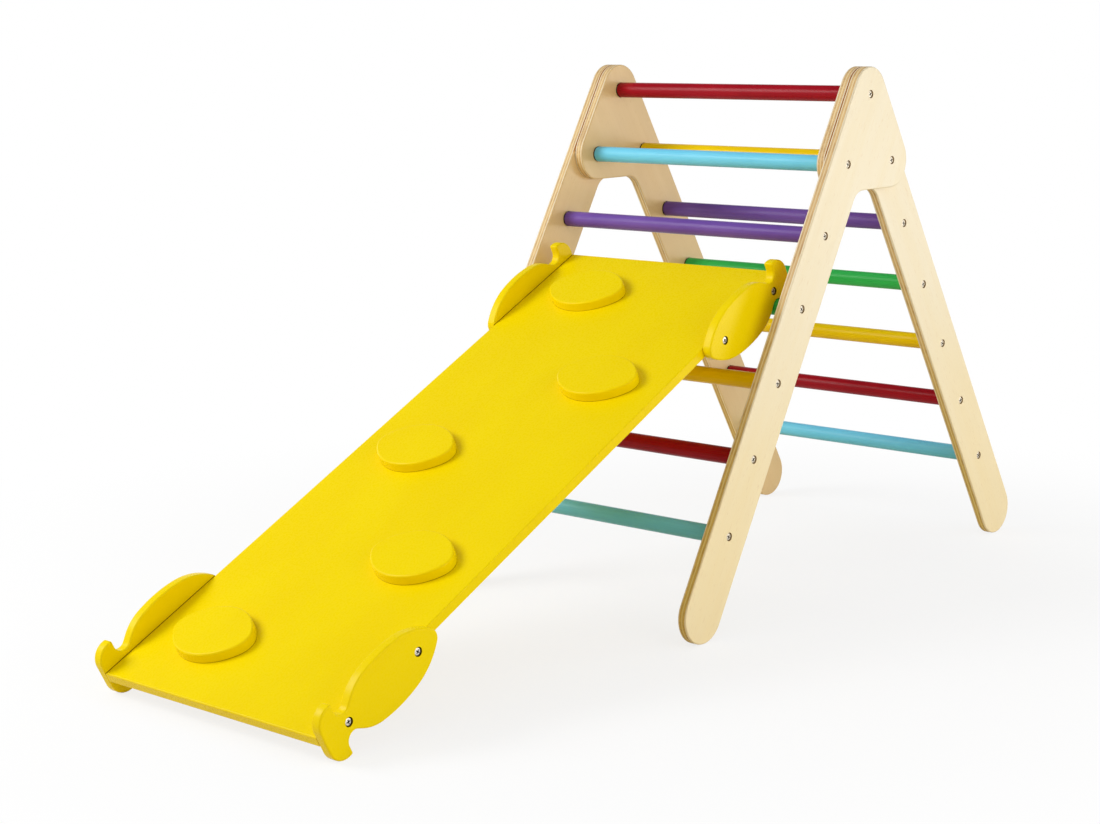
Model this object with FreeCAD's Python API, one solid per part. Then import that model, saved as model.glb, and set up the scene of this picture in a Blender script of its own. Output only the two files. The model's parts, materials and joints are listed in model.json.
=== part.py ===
import FreeCAD, Part
import math
import os

# Climbing triangle with a hooked-on ramp, in millimetres and degrees.
# +Z is up, +X runs from the ramp's low end towards the triangle, +Y is the climber's left.
# The origin is on the floor, in the middle of the space that the whole object covers.

# Triangle: rungs between two pairs of plywood boards
rung_pitch = 120.0
rung_count = 6
rung_d = 25.0
leg_lean = 30.0
leg_w = 84.0
board_t = 15.0
frame_w = 530.0
foot_reach = 120.0
head_fillet_r = 30.0
board_edge_r = 2.0
socket_play = 0.25

# Screws with a round head in a recess, for the rungs and the hook plates
screw_head_d = 10.5
screw_head_h = 2.6
screw_head_round_r = 0.8
screw_shank_d = 5.0
screw_bite = 30.0
screw_play = 0.1
recess_d = 12.5
recess_depth = 4.0
recess_floor_t = 4.0
pilot_spare = 2.0
cross_slot_l = 5.4
cross_slot_w = 1.2
cross_slot_depth = 1.8

# Ramp board
ramp_len = 1061.0
ramp_t = 15.0
ramp_edge_r = 2.0
ramp_side_gap = 12.5
carrying_rung = 3

# Hook plates on the ramp's side edges, each the same above and below the board
hook_plate_len = 214.0
hook_plate_t = 15.0
hook_plate_edge_r = 2.5
hook_body_h = 83.0
hook_waist_h = 31.0
hook_tail_w = 29.7
hook_lip = 11.7
hook_tip_r = 3.0
hook_tip_flat = 2.7
hook_flank_angle = 40.0
hook_flank_l = 9.0
hook_nose_r = 15.0
notch_play = 0.3
body_screw_inset = 38.0
crown_share = 0.4375
crown_drop_share = 0.62
cheek_share = 0.645

# Climbing stones on the ramp board
stone_count = 5
stone_len = 140.0
stone_w = 97.0
stone_end_r = 26.0
stone_t = 15.0
stone_edge_r = 3.0
stone_edge_gap = 45.5
stone_screw_spacing = 64.0
stone_screw_d = 4.0
stone_screw_head_d = 8.0
stone_screw_head_h = 2.4
stone_screw_bite = 10.0
stone_slot_l = 4.0
stone_slot_w = 0.9
stone_slot_depth = 1.4

# How far a cut runs past the face it opens, and how flat an edge has to lie
overrun = 1.0
flatness = 0.001

# Sizes that follow from those above
lean = math.radians(leg_lean)
foot_r = leg_w / 2
rung_r = rung_d / 2
socket_r = rung_r + socket_play
socket_depth = board_t - recess_depth - recess_floor_t
leg_run = rung_count * rung_pitch + foot_reach
apex_z = foot_r + leg_run * math.cos(lean)
outer_y = frame_w / 2
middle_y = outer_y - board_t
inner_y = middle_y - board_t

ramp_w = 2 * (inner_y - ramp_side_gap - hook_plate_t)
notch_r = rung_r + notch_play
notch_u = hook_tail_w + notch_r
notch_v = hook_waist_h / 2 + notch_r
tail_half_h = notch_v + hook_lip
tail_r = hook_tail_w - hook_tip_r - hook_tip_flat
hinge_u = ramp_len - notch_u
stone_off = ramp_w / 2 - stone_len / 2 - stone_edge_gap

# The ramp's slope lets the round lower corners of its low tails touch the floor.
hinge_z = apex_z - carrying_rung * rung_pitch * math.cos(lean)
corner_u = hinge_u - tail_r
corner_v = notch_v - (tail_half_h - tail_r)
slope = math.asin((hinge_z - tail_r) / math.hypot(corner_u, corner_v)) + math.atan2(corner_v, corner_u)

# The triangle's apex lies over apex_x, so that the whole object is centred on the origin.
hinge_from_apex = -carrying_rung * rung_pitch * math.sin(lean)
high_corner_v = notch_v + tail_half_h - tail_r
low_end_x = hinge_from_apex - corner_u * math.cos(slope) - high_corner_v * math.sin(slope) - tail_r
rear_end_x = leg_run * math.sin(lean) + foot_r
apex_x = -(low_end_x + rear_end_x) / 2


def at(x, z):
    """A point on the middle plane of the object."""
    return FreeCAD.Vector(x, 0, z)


def leg_point(leg, distance):
    """A point on a leg's line: leg is -1 for the front, 1 for the rear, distance counts from the apex."""
    return at(apex_x + leg * distance * math.sin(lean), apex_z - distance * math.cos(lean))


def arc(start, middle, end):
    return Part.Arc(start, middle, end).toShape()


def line(start, end):
    return Part.LineSegment(start, end).toShape()


def export(shape, node):
    shape.exportStep("parts/%s.step" % node)


def plate(edges, y_from, y_to, edge_r):
    """A flat board with the outline of the edges, between two planes, with rounded edges."""
    outline = Part.Wire(Part.__sortEdges__(edges))
    outline.translate(FreeCAD.Vector(0, y_from, 0))
    solid = Part.Face(outline).extrude(FreeCAD.Vector(0, y_to - y_from, 0))
    rims = [edge for edge in solid.Edges if edge.BoundBox.YLength < flatness]
    return solid.makeFillet(edge_r, rims)


def drill(centre, radius, y_from, y_to):
    """A cylinder along Y at a point of the middle plane."""
    foot = FreeCAD.Vector(centre.x, y_from, centre.z)
    way = FreeCAD.Vector(0, y_to - y_from, 0)
    return Part.makeCylinder(radius, abs(y_to - y_from), foot, way)


def screw(length, slot_l, slot_w, slot_depth, head, shank_d):
    """A screw along Z: its head stands on the plane z = 0, and its shank points down."""
    tip_h = shank_d
    shank = Part.makeCylinder(shank_d / 2, length - tip_h, at(0, tip_h - length))
    tip = Part.makeCone(0, shank_d / 2, tip_h, at(0, -length))
    body = head.fuse([shank, tip]).removeSplitter()
    top = head.BoundBox.ZMax
    for across in (False, True):
        slot = Part.makeBox(slot_l, slot_w, slot_depth + overrun)
        slot.translate(FreeCAD.Vector(-slot_l / 2, -slot_w / 2, top - slot_depth))
        if across:
            slot.rotate(FreeCAD.Vector(), FreeCAD.Vector(0, 0, 1), 90)
        body = body.cut(slot)
    return body


def recessed_screw(length, point, side, face_y):
    """A round-headed screw whose head sits on the recess floor behind the face at face_y."""
    head = Part.makeCylinder(screw_head_d / 2, screw_head_h)
    rim = [edge for edge in head.Edges if edge.BoundBox.ZMin > screw_head_h - flatness]
    head = head.makeFillet(screw_head_round_r, rim)
    body = screw(length, cross_slot_l, cross_slot_w, cross_slot_depth, head, screw_shank_d)
    turn = FreeCAD.Rotation(FreeCAD.Vector(0, 0, 1), FreeCAD.Vector(0, side, 0))
    seat = FreeCAD.Vector(point.x, face_y - side * recess_depth, point.z)
    return body.transformed(FreeCAD.Placement(seat, turn).toMatrix(), True)


def recess_cuts(point, side, face_y, hole_end_y):
    """The recess for a screw's head in the face at face_y, and the hole behind it."""
    recess = drill(point, recess_d / 2, face_y + side * overrun, face_y - side * recess_depth)
    hole = drill(point, screw_shank_d / 2 + screw_play, face_y, hole_end_y - side * overrun)
    return [recess, hole]


def socket_cut(point, side, face_y):
    """The blind socket for a rung's end in the inward face at face_y."""
    return drill(point, socket_r, face_y - side * overrun, face_y + side * socket_depth)


def leg_outline(leg):
    """Outline of a leg with its head: round foot, round head corners and a hollow inner corner."""
    along = at(leg * math.sin(lean), -math.cos(lean))
    outward = at(leg * math.cos(lean), math.sin(lean))
    far_outward = at(-leg * math.cos(lean), math.sin(lean))
    up = at(0, 1)
    apex = leg_point(leg, 0)
    foot = leg_point(leg, leg_run)
    far_rung = leg_point(-leg, rung_pitch)
    far_low = at(-leg * math.cos(lean), -math.sin(lean))
    head_floor_z = far_rung.z - foot_r
    hollow_z = head_floor_z - head_fillet_r
    hollow_off = foot_r + head_fillet_r
    hollow_run = (apex_z - hollow_z - hollow_off * math.sin(lean)) / math.cos(lean)
    hollow = leg_point(leg, hollow_run) - outward * hollow_off
    hollow_mid = hollow + (up + outward).normalize() * head_fillet_r
    return [
        line(foot + outward * foot_r, apex + outward * foot_r),
        arc(apex + outward * foot_r, apex + up * foot_r, apex + far_outward * foot_r),
        line(apex + far_outward * foot_r, far_rung + far_outward * foot_r),
        arc(far_rung + far_outward * foot_r, far_rung + far_low * foot_r, far_rung - up * foot_r),
        line(far_rung - up * foot_r, hollow + up * head_fillet_r),
        arc(hollow + up * head_fillet_r, hollow_mid, hollow + outward * head_fillet_r),
        line(hollow + outward * head_fillet_r, foot - outward * foot_r),
        arc(foot - outward * foot_r, foot + along * foot_r, foot + outward * foot_r),
    ]


def head_points():
    return [leg_point(1, 0), leg_point(-1, rung_pitch), leg_point(1, rung_pitch)]


def lower_points(leg):
    return [leg_point(leg, place * rung_pitch) for place in range(2, rung_count + 1)]


def front_leg(side):
    """The outer board: sockets below the head, and screw holes through the head."""
    body = plate(leg_outline(-1), side * middle_y, side * outer_y, board_edge_r)
    cuts = []
    for point in head_points() + lower_points(-1):
        cuts += recess_cuts(point, side, side * outer_y, side * middle_y)
    cuts += [socket_cut(point, side, side * middle_y) for point in lower_points(-1)]
    return body.cut(cuts)


def rear_leg(side):
    """The inner board: sockets all the way, and screw recesses below the head."""
    body = plate(leg_outline(1), side * inner_y, side * middle_y, board_edge_r)
    cuts = []
    for point in lower_points(1):
        cuts += recess_cuts(point, side, side * middle_y, side * inner_y)
    for point in head_points():
        hole_r = screw_shank_d / 2 + screw_play
        cuts.append(drill(point, hole_r, side * (middle_y + overrun), side * (inner_y - overrun)))
    cuts += [socket_cut(point, side, side * inner_y) for point in head_points() + lower_points(1)]
    return body.cut(cuts)


def rung(point, face_y):
    """A round rung seated in the sockets of two boards, with a pilot hole in each end."""
    end_y = face_y + socket_depth
    body = drill(point, rung_r, -end_y, end_y)
    pilot_r = screw_shank_d / 2 + screw_play
    pilot_y = end_y - screw_bite - pilot_spare
    for side in (-1, 1):
        body = body.cut(drill(point, pilot_r, side * (end_y + overrun), side * pilot_y))
    return body


def ramp_place():
    """The ramp's place: its own frame has its low end at u = 0 and its middle plane at v = 0."""
    turn = FreeCAD.Rotation(FreeCAD.Vector(0, 1, 0), -math.degrees(slope))
    hinge = leg_point(-1, carrying_rung * rung_pitch)
    return FreeCAD.Placement(hinge, turn) * FreeCAD.Placement(at(-hinge_u, notch_v), FreeCAD.Rotation())


def on_ramp(shape):
    return shape.transformed(ramp_place().toMatrix(), True)


def hook_outline(upper):
    """Outline of a hook plate in the ramp's frame: tail at the board's end, two notches, leaf-shaped body."""
    way = -1 if upper else 1
    end = at(ramp_len if upper else 0, 0)
    slant = math.sqrt(0.5)
    flank = math.radians(hook_flank_angle)
    corner = at(tail_r, tail_half_h - tail_r)
    tip = at(hook_tail_w - hook_tip_r, tail_half_h - hook_tip_r)
    notch = at(notch_u, notch_v)
    nose = at(hook_plate_len - hook_nose_r, 0)

    # The body's upper edge is a flat crown: a large arc that drops by a share of its rise above the flank.
    flank_way = at(math.cos(flank), math.sin(flank))
    flank_out = at(-math.sin(flank), math.cos(flank))
    flank_start = notch - flank_out * notch_r
    flank_end = flank_start + flank_way * hook_flank_l
    body_run = hook_plate_len - flank_start.x
    crown_top = at(flank_start.x + crown_share * body_run, hook_body_h / 2)
    crown_run = crown_top.x - flank_end.x
    crown_drop = crown_drop_share * (crown_top.z - flank_end.z)
    crown_r = (crown_run ** 2 + crown_drop ** 2) / (2 * crown_drop)
    crown = crown_top - at(0, crown_r)

    # The shoulder's arc touches the flank at its end, and the crown.
    flank_gap = flank_end - crown
    shoulder_r = (crown_r ** 2 - flank_gap.dot(flank_gap)) / (2 * (crown_r - flank_gap.dot(flank_out)))
    shoulder = flank_end - flank_out * shoulder_r
    shoulder_out = (shoulder - crown).normalize()

    # The cheek's arc leaves the crown at a share of the body's length, and touches the round nose.
    cheek_run = (cheek_share - crown_share) * body_run
    cheek_start = crown + at(cheek_run, math.sqrt(crown_r ** 2 - cheek_run ** 2))
    cheek_out = (cheek_start - crown).normalize()
    nose_gap = cheek_start - nose
    cheek_r = (nose_gap.dot(nose_gap) - hook_nose_r ** 2) / (2 * (nose_gap.dot(cheek_out) - hook_nose_r))
    cheek = cheek_start - cheek_out * cheek_r
    nose_out = (nose - cheek).normalize()

    def half(sign):
        def place(point):
            return end + at(way * point.x, sign * point.z)

        def bend(centre, radius, first, last):
            ways = (first, (first + last).normalize(), last)
            return arc(*[place(centre + way_out * radius) for way_out in ways])

        def run(start, finish):
            return line(place(start), place(finish))

        left, up, right = at(-1, 0), at(0, 1), at(1, 0)
        notch_low = at(-slant, -slant)
        return [
            run(at(0, 0), corner + left * tail_r),
            bend(corner, tail_r, left, up),
            run(corner + up * tail_r, tip + up * hook_tip_r),
            bend(tip, hook_tip_r, up, right),
            run(tip + right * hook_tip_r, notch + left * notch_r),
            bend(notch, notch_r, left, notch_low),
            bend(notch, notch_r, notch_low, flank_out * -1),
            run(flank_start, flank_end),
            bend(shoulder, shoulder_r, flank_out, shoulder_out),
            bend(crown, crown_r, shoulder_out, cheek_out),
            bend(cheek, cheek_r, cheek_out, nose_out),
            bend(nose, hook_nose_r, nose_out, right),
        ]

    return half(1) + half(-1)


def hook_screw_points(upper):
    places = (notch_u, hook_plate_len - body_screw_inset)
    return [at(ramp_len - u if upper else u, 0) for u in places]


def hook_plate(upper, side):
    """A hook plate against the ramp board's side edge."""
    near_y = side * ramp_w / 2
    far_y = side * (ramp_w / 2 + hook_plate_t)
    body = plate(hook_outline(upper), near_y, far_y, hook_plate_edge_r)
    cuts = []
    for point in hook_screw_points(upper):
        cuts += recess_cuts(point, side, far_y, near_y)
    return body.cut(cuts)


def hook_screws(side):
    length = hook_plate_t - recess_depth + screw_bite
    face_y = side * (ramp_w / 2 + hook_plate_t)
    points = hook_screw_points(False) + hook_screw_points(True)
    return [recessed_screw(length, point, side, face_y) for point in points]


def stone_places():
    """Centres of the stones on the board, in turn to the left and to the right."""
    half_step = ramp_len / stone_count / 2
    sides = [1 if place % 2 == 0 else -1 for place in range(stone_count)]
    return [((2 * place + 1) * half_step, side * stone_off) for place, side in enumerate(sides)]


def stone_screw_places():
    offsets = (-stone_screw_spacing / 2, stone_screw_spacing / 2)
    return [(u, y + offset) for u, y in stone_places() for offset in offsets]


def climbing_stone(u, y):
    """A flat pebble: an oval of four arcs with a rounded upper rim."""
    half_l = stone_len / 2
    half_w = stone_w / 2
    side_r = ((half_l - stone_end_r) ** 2 + half_w ** 2 - stone_end_r ** 2) / (2 * (half_w - stone_end_r))
    end_off = half_l - stone_end_r
    side_off = side_r - half_w
    reach = stone_end_r / math.hypot(end_off, side_off)
    join_u = side_off * reach
    join_y = end_off + end_off * reach
    base_v = ramp_t / 2

    def point(du, dy):
        return FreeCAD.Vector(u + du, y + dy, base_v)

    edges = [
        arc(point(-join_u, -join_y), point(0, -half_l), point(join_u, -join_y)),
        arc(point(join_u, -join_y), point(half_w, 0), point(join_u, join_y)),
        arc(point(join_u, join_y), point(0, half_l), point(-join_u, join_y)),
        arc(point(-join_u, join_y), point(-half_w, 0), point(-join_u, -join_y)),
    ]
    body = Part.Face(Part.Wire(edges)).extrude(FreeCAD.Vector(0, 0, stone_t))
    rim = [edge for edge in body.Edges if edge.BoundBox.ZMin > base_v + stone_t - flatness]
    body = body.makeFillet(stone_edge_r, rim)
    for offset in (-stone_screw_spacing / 2, stone_screw_spacing / 2):
        foot = FreeCAD.Vector(u, y + offset, base_v - overrun)
        depth = stone_screw_bite + screw_play + overrun
        body = body.cut(Part.makeCylinder(stone_screw_d / 2 + screw_play, depth, foot))
    return body


def stone_screws():
    """Countersunk screws, flush with the board's underside, that hold the stones."""
    length = ramp_t - stone_screw_head_h + stone_screw_bite
    head = Part.makeCone(stone_screw_d / 2, stone_screw_head_d / 2, stone_screw_head_h)
    body = screw(length, stone_slot_l, stone_slot_w, stone_slot_depth, head, stone_screw_d)
    turn = FreeCAD.Rotation(FreeCAD.Vector(1, 0, 0), 180)
    seat_v = stone_screw_head_h - ramp_t / 2
    places = [FreeCAD.Vector(u, y, seat_v) for u, y in stone_screw_places()]
    return [body.transformed(FreeCAD.Placement(place, turn).toMatrix(), True) for place in places]


def ramp_board():
    """The ramp's board with pilot holes in its edges and countersunk holes in its underside."""
    low = FreeCAD.Vector(0, -ramp_w / 2, -ramp_t / 2)
    body = Part.makeBox(ramp_len, ramp_w, ramp_t, low)
    long_edges = [edge for edge in body.Edges if edge.BoundBox.ZLength < flatness]
    body = body.makeFillet(ramp_edge_r, long_edges)
    cuts = []
    hole_r = screw_shank_d / 2 + screw_play
    for side in (-1, 1):
        for point in hook_screw_points(False) + hook_screw_points(True):
            end_y = ramp_w / 2 - screw_bite - pilot_spare
            cuts.append(drill(point, hole_r, side * (ramp_w / 2 + overrun), side * end_y))
    for u, y in stone_screw_places():
        foot = FreeCAD.Vector(u, y, -ramp_t / 2)
        cuts.append(Part.makeCylinder(stone_screw_d / 2 + screw_play, ramp_t + overrun, foot))
        mouth_r = stone_screw_head_d / 2 + screw_play
        cuts.append(Part.makeCone(mouth_r, stone_screw_d / 2 + screw_play, stone_screw_head_h, foot))
    return body.cut(cuts)


def build_triangle():
    single_length = recess_floor_t + screw_bite
    head_length = board_t - recess_depth + board_t - socket_depth + screw_bite
    for side, name in ((1, "left"), (-1, "right")):
        export(front_leg(side), "front_leg_" + name)
        export(rear_leg(side), "rear_leg_" + name)
        groups = (
            ("head", head_points(), head_length, outer_y),
            ("front_leg", lower_points(-1), single_length, outer_y),
            ("rear_leg", lower_points(1), single_length, middle_y),
        )
        for group, points, length, face_y in groups:
            screws = [recessed_screw(length, point, side, side * face_y) for point in points]
            export(Part.makeCompound(screws), "%s_screws_%s" % (group, name))
    export(rung(leg_point(1, 0), inner_y), "apex_rung")
    for leg, name, face_y in ((-1, "front", middle_y), (1, "rear", inner_y)):
        for place in range(1, rung_count + 1):
            seat_y = inner_y if place == 1 else face_y
            export(rung(leg_point(leg, place * rung_pitch), seat_y), "%s_rung_%d" % (name, place))


def build_ramp():
    export(on_ramp(ramp_board()), "ramp_board")
    for side, name in ((1, "left"), (-1, "right")):
        for upper, level in ((False, "lower"), (True, "upper")):
            export(on_ramp(hook_plate(upper, side)), "%s_hook_%s" % (level, name))
        export(on_ramp(Part.makeCompound(hook_screws(side))), "hook_screws_" + name)
    for place, (u, y) in enumerate(stone_places()):
        export(on_ramp(climbing_stone(u, y)), "climbing_stone_%d" % (place + 1))
    export(on_ramp(Part.makeCompound(stone_screws())), "stone_screws")


os.makedirs("parts", exist_ok=True)
build_triangle()
build_ramp()
print("slope %.3f deg, apex at x %.3f z %.3f, hinge z %.3f" % (math.degrees(slope), apex_x, apex_z, hinge_z))
print("ramp %.1f wide, low end %.3f, rear end %.3f" % (ramp_w, apex_x + low_end_x, apex_x + rear_end_x))
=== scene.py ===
# %% [markdown]
# # A climbing triangle with its ramp
#
# This lesson gives a climbing triangle its looks. Nothing here moves or resizes them. What is left for
# us is what the eye needs: a camera, a floor, soft light, and a finish on every surface.

# %% Load the frame
import json
import math

import bmesh
import bpy
from mathutils import Matrix, Vector


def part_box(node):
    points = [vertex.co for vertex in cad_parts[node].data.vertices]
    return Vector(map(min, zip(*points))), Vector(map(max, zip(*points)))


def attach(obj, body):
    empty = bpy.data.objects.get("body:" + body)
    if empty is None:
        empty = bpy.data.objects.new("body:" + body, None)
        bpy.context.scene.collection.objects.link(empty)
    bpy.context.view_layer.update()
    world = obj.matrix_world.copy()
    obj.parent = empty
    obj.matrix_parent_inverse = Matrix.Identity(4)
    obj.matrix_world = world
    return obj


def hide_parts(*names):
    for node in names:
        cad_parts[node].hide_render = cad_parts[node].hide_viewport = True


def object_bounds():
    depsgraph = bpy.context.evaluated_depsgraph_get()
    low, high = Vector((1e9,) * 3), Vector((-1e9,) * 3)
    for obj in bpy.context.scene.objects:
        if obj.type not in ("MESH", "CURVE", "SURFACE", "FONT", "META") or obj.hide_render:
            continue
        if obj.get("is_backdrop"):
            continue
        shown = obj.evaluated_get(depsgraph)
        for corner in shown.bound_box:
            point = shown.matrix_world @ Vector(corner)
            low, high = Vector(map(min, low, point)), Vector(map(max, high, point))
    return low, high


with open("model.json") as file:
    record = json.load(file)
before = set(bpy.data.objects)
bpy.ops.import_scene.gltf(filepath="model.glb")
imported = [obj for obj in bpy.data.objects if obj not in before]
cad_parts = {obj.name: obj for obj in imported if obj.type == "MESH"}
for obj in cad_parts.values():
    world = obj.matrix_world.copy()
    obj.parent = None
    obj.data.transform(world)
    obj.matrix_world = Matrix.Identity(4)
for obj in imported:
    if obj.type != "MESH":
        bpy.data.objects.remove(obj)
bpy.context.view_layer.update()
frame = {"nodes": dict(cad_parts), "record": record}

NODES = frame["nodes"]

# %% [markdown]
# ## The camera
#
# A product photograph is matched best by writing down where the photographer stood. The angles below are
# those of a camera on a low tripod in front of the ramp's low end and to its right. The long lens keeps
# the boards from looking stretched. The small shift stands for the crop of the picture.

# %% Camera
CAMERA_PLACE = Vector((-2.426, -2.089, 0.887))
CAMERA_YAW = math.radians(49.760)
CAMERA_PITCH = math.radians(8.655)
CAMERA_ROLL = math.radians(-0.623)
LENS_MM, SENSOR_MM = 69.83, 36.0
CAMERA_SHIFT = (-0.065, -0.062)

camera_data = bpy.data.cameras.new("camera")
camera_data.sensor_width = SENSOR_MM
camera_data.lens = LENS_MM
camera_data.shift_x, camera_data.shift_y = CAMERA_SHIFT
camera = bpy.data.objects.new("camera", camera_data)
bpy.context.scene.collection.objects.link(camera)
turn = Matrix.Rotation(-CAMERA_YAW, 4, "Z") @ Matrix.Rotation(math.pi / 2 - CAMERA_PITCH, 4, "X")
camera.matrix_world = Matrix.Translation(CAMERA_PLACE) @ turn @ Matrix.Rotation(CAMERA_ROLL, 4, "Z")
bpy.context.scene.camera = camera
print("camera at", tuple(CAMERA_PLACE), "lens", LENS_MM, "mm")

# %% [markdown]
# ## Small helpers for materials
#
# Colours are picked as sRGB hex values, but the shader wants linear light, so one function
# converts them. A second function adds a node, sets what it is given and links what feeds it. Two
# settings come back so often that they get a name: a range with soft ends, and a mix of two colours.

# %% Helpers
MM = 0.001
SOFT = {"interpolation_type": "SMOOTHSTEP"}
COLOUR = {"data_type": "RGBA"}


def linear(hex_colour):
    """A colour's linear light, by the formula of the sRGB standard."""
    parts = [int(hex_colour[place:place + 2], 16) / 255 for place in (0, 2, 4)]
    light = [part / 12.92 if part <= 0.04045 else ((part + 0.055) / 1.055) ** 2.4 for part in parts]
    return (*light, 1.0)


def add_node(tree, kind, links=None, inputs=None, **settings):
    """Adds a node. settings are its properties, inputs are socket values, and links feed its sockets
    from another socket, or from a node's first output that is in use."""
    node = tree.nodes.new(kind)
    for name, value in settings.items():
        setattr(node, name, value)
    for socket, value in (inputs or {}).items():
        node.inputs[socket].default_value = value
    for socket, source in (links or {}).items():
        if isinstance(source, bpy.types.Node):
            source = next(output for output in source.outputs if output.enabled)
        tree.links.new(source, node.inputs[socket])
    return node


def new_material(name):
    material = bpy.data.materials.new(name)
    material.use_nodes = True
    material.node_tree.nodes.clear()
    return material, material.node_tree


print("a mid grey of 808080 is", round(linear("808080")[0], 3), "in linear light")

# %% [markdown]
# ## The floor
#
# The object stands on a seamless white sweep. Around the feet the floor is a real lit surface, so that it
# keeps the soft shadow. Further out it fades to plain white, as an overexposed studio sweep does, and so
# no horizon shows. A white floor would also throw a lot of light up under the ramp, where a real sweep
# lies in the ramp's own shade and takes on its yellow. So the floor is white only where it is seen, and a
# warm cream where it passes light on. A Light Path node tells these two apart.

# %% Rays that are seen
def seen_rays(tree):
    """1 for what is seen, straight, in a mirror or through glass, and 0 for light that only bounces."""
    path = add_node(tree, "ShaderNodeLightPath")
    rays = path.outputs["Is Camera Ray"]
    for kind in ("Is Glossy Ray", "Is Transmission Ray"):
        rays = add_node(tree, "ShaderNodeMath", {0: rays, 1: path.outputs[kind]}, operation="MAXIMUM")
    return rays


print("rays that are seen are told from rays that only bring light")

# %% Floor
WHITE = (1.0, 1.0, 1.0, 1.0)
FLOOR_SIZE = 60.0
FLOOR_WHITE, FLOOR_BOUNCE = "F6F6F6", "E0D4B0"
SHADOW_REACH, WHITE_FROM = 0.55, 1.5
SHADOW_SHARE = 0.22

bpy.ops.object.select_all(action="DESELECT")
bpy.ops.mesh.primitive_plane_add(size=FLOOR_SIZE, location=(0, 0, 0))
floor = bpy.context.object
floor.name = "studio_floor"
material, tree = new_material("matt_white_sweep")
seen = seen_rays(tree)
place = add_node(tree, "ShaderNodeTexCoord")
away = add_node(tree, "ShaderNodeVectorMath", {0: place.outputs["Object"]}, operation="LENGTH")
plain = add_node(tree, "ShaderNodeMapRange", {"Value": away}, {
    "From Min": SHADOW_REACH, "From Max": WHITE_FROM, "To Min": 1 - SHADOW_SHARE}, **SOFT)
share = add_node(tree, "ShaderNodeMath", {0: seen, 1: plain}, operation="MULTIPLY")
card = add_node(tree, "ShaderNodeMix", {0: seen},
                {6: linear(FLOOR_BOUNCE), 7: linear(FLOOR_WHITE)}, **COLOUR)
lit = add_node(tree, "ShaderNodeBsdfDiffuse", {"Color": card})
white = add_node(tree, "ShaderNodeEmission", inputs={"Color": WHITE, "Strength": 1.0})
mixed = add_node(tree, "ShaderNodeMixShader", {0: share, 1: lit, 2: white})
add_node(tree, "ShaderNodeOutputMaterial", {"Surface": mixed})
floor.data.materials.append(material)
floor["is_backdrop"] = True
print("floor", FLOOR_SIZE, "m across, plain white from", WHITE_FROM, "m out")

# %% [markdown]
# ## Soft studio light
#
# Three softboxes do the work. The main one stands on the far left, in front and above: it lights the
# ramp, lays the stones' soft shadows to their right, and draws the line of light along every rung. The
# second is large and stands low on the near side: the near legs are bright and the far ones dimmer, and
# as it is so large, the heads throw hardly any shadow on the legs below them. The third, on the right,
# stands where the near legs mirror it, so it gives the lacquer its sheen. The world is white where it is
# seen, up to the height of a studio's sweep, and dim above it like a ceiling, which keeps glossy paint
# from turning pale. Where it lights the object it is a plain grey.

# %% Lights
def softbox(name, place, target, size, power):
    data = bpy.data.lights.new(name, "AREA")
    data.shape = "SQUARE"
    data.size = size
    data.energy = power
    lamp = bpy.data.objects.new(name, data)
    bpy.context.scene.collection.objects.link(lamp)
    lamp.location = place
    lamp.rotation_euler = (Vector(target) - Vector(place)).to_track_quat("-Z", "Y").to_euler()
    print(name, "at", place, "of", power, "W")


softbox("left_front_softbox", (-2.1, 1.9, 2.1), (-0.2, 0.0, 0.4), size=1.6, power=67.5)
softbox("near_side_softbox", (-0.1, -2.3, 0.5), (0.15, -0.2, 0.45), size=2.2, power=27.5)
softbox("right_side_softbox", (2.6, -2.15, 0.4), (0.35, -0.2, 0.5), size=1.1, power=20.0)

# %% World
WORLD_FILL = 0.5
CEILING, SWEEP_TOP, CEILING_FROM = 0.05, 0.3, 0.65
world = bpy.data.worlds.new("studio")
world.use_nodes = True
bpy.context.scene.world = world
tree = world.node_tree
tree.nodes.clear()
place = add_node(tree, "ShaderNodeTexCoord")
height = add_node(tree, "ShaderNodeSeparateXYZ", {0: place.outputs["Generated"]})
sweep = add_node(tree, "ShaderNodeMapRange", {"Value": height.outputs["Z"]}, {
    "From Min": SWEEP_TOP, "From Max": CEILING_FROM, "To Min": 1.0, "To Max": CEILING}, **SOFT)
fill = add_node(tree, "ShaderNodeBackground", inputs={"Color": WHITE, "Strength": WORLD_FILL})
white = add_node(tree, "ShaderNodeBackground", {"Strength": sweep}, {"Color": WHITE})
mixed = add_node(tree, "ShaderNodeMixShader", {0: seen_rays(tree), 1: fill, 2: white})
add_node(tree, "ShaderNodeOutputWorld", {"Surface": mixed})
bpy.context.scene.view_settings.view_transform = "Standard"
print("world fill", WORLD_FILL)

# %% [markdown]
# ## Patterns with a real size
#
# Wood, paint and steel all start from noise whose cells have a real size. A Mapping node multiplies the
# place by cells per metre, so a small function turns a cell of 1.6 x 1.6 x 95 mm into the three scales
# that give streaks 1.6 mm wide and 95 mm long.

# %% Cells in millimetres
def cells(*sides_mm):
    return [1 / (side * MM) for side in sides_mm]


print("a cell of 2 mm is a scale of", cells(2)[0])

# %% [markdown]
# ## Where the screws are
#
# Every screw sits in a drilled recess with a raw, dusty wall, which the finishes paint darker: dust, and
# painted shade. Seen from the side it is a dark crescent beside the bright head. The finishes need to
# know
# where these recesses are, and later the screws do too. So the screws of the loaded model are looked up:
# the points at the outer end of each head form a group, and the middle of the group is on the screw's
# axis.

# %% Look up the screws
RECESS_R = 6.3 * MM
RECESS_BLUR = 0.25 * MM
RECESS_SHARE = 0.92
END_DEPTH = 0.1 * MM


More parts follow.
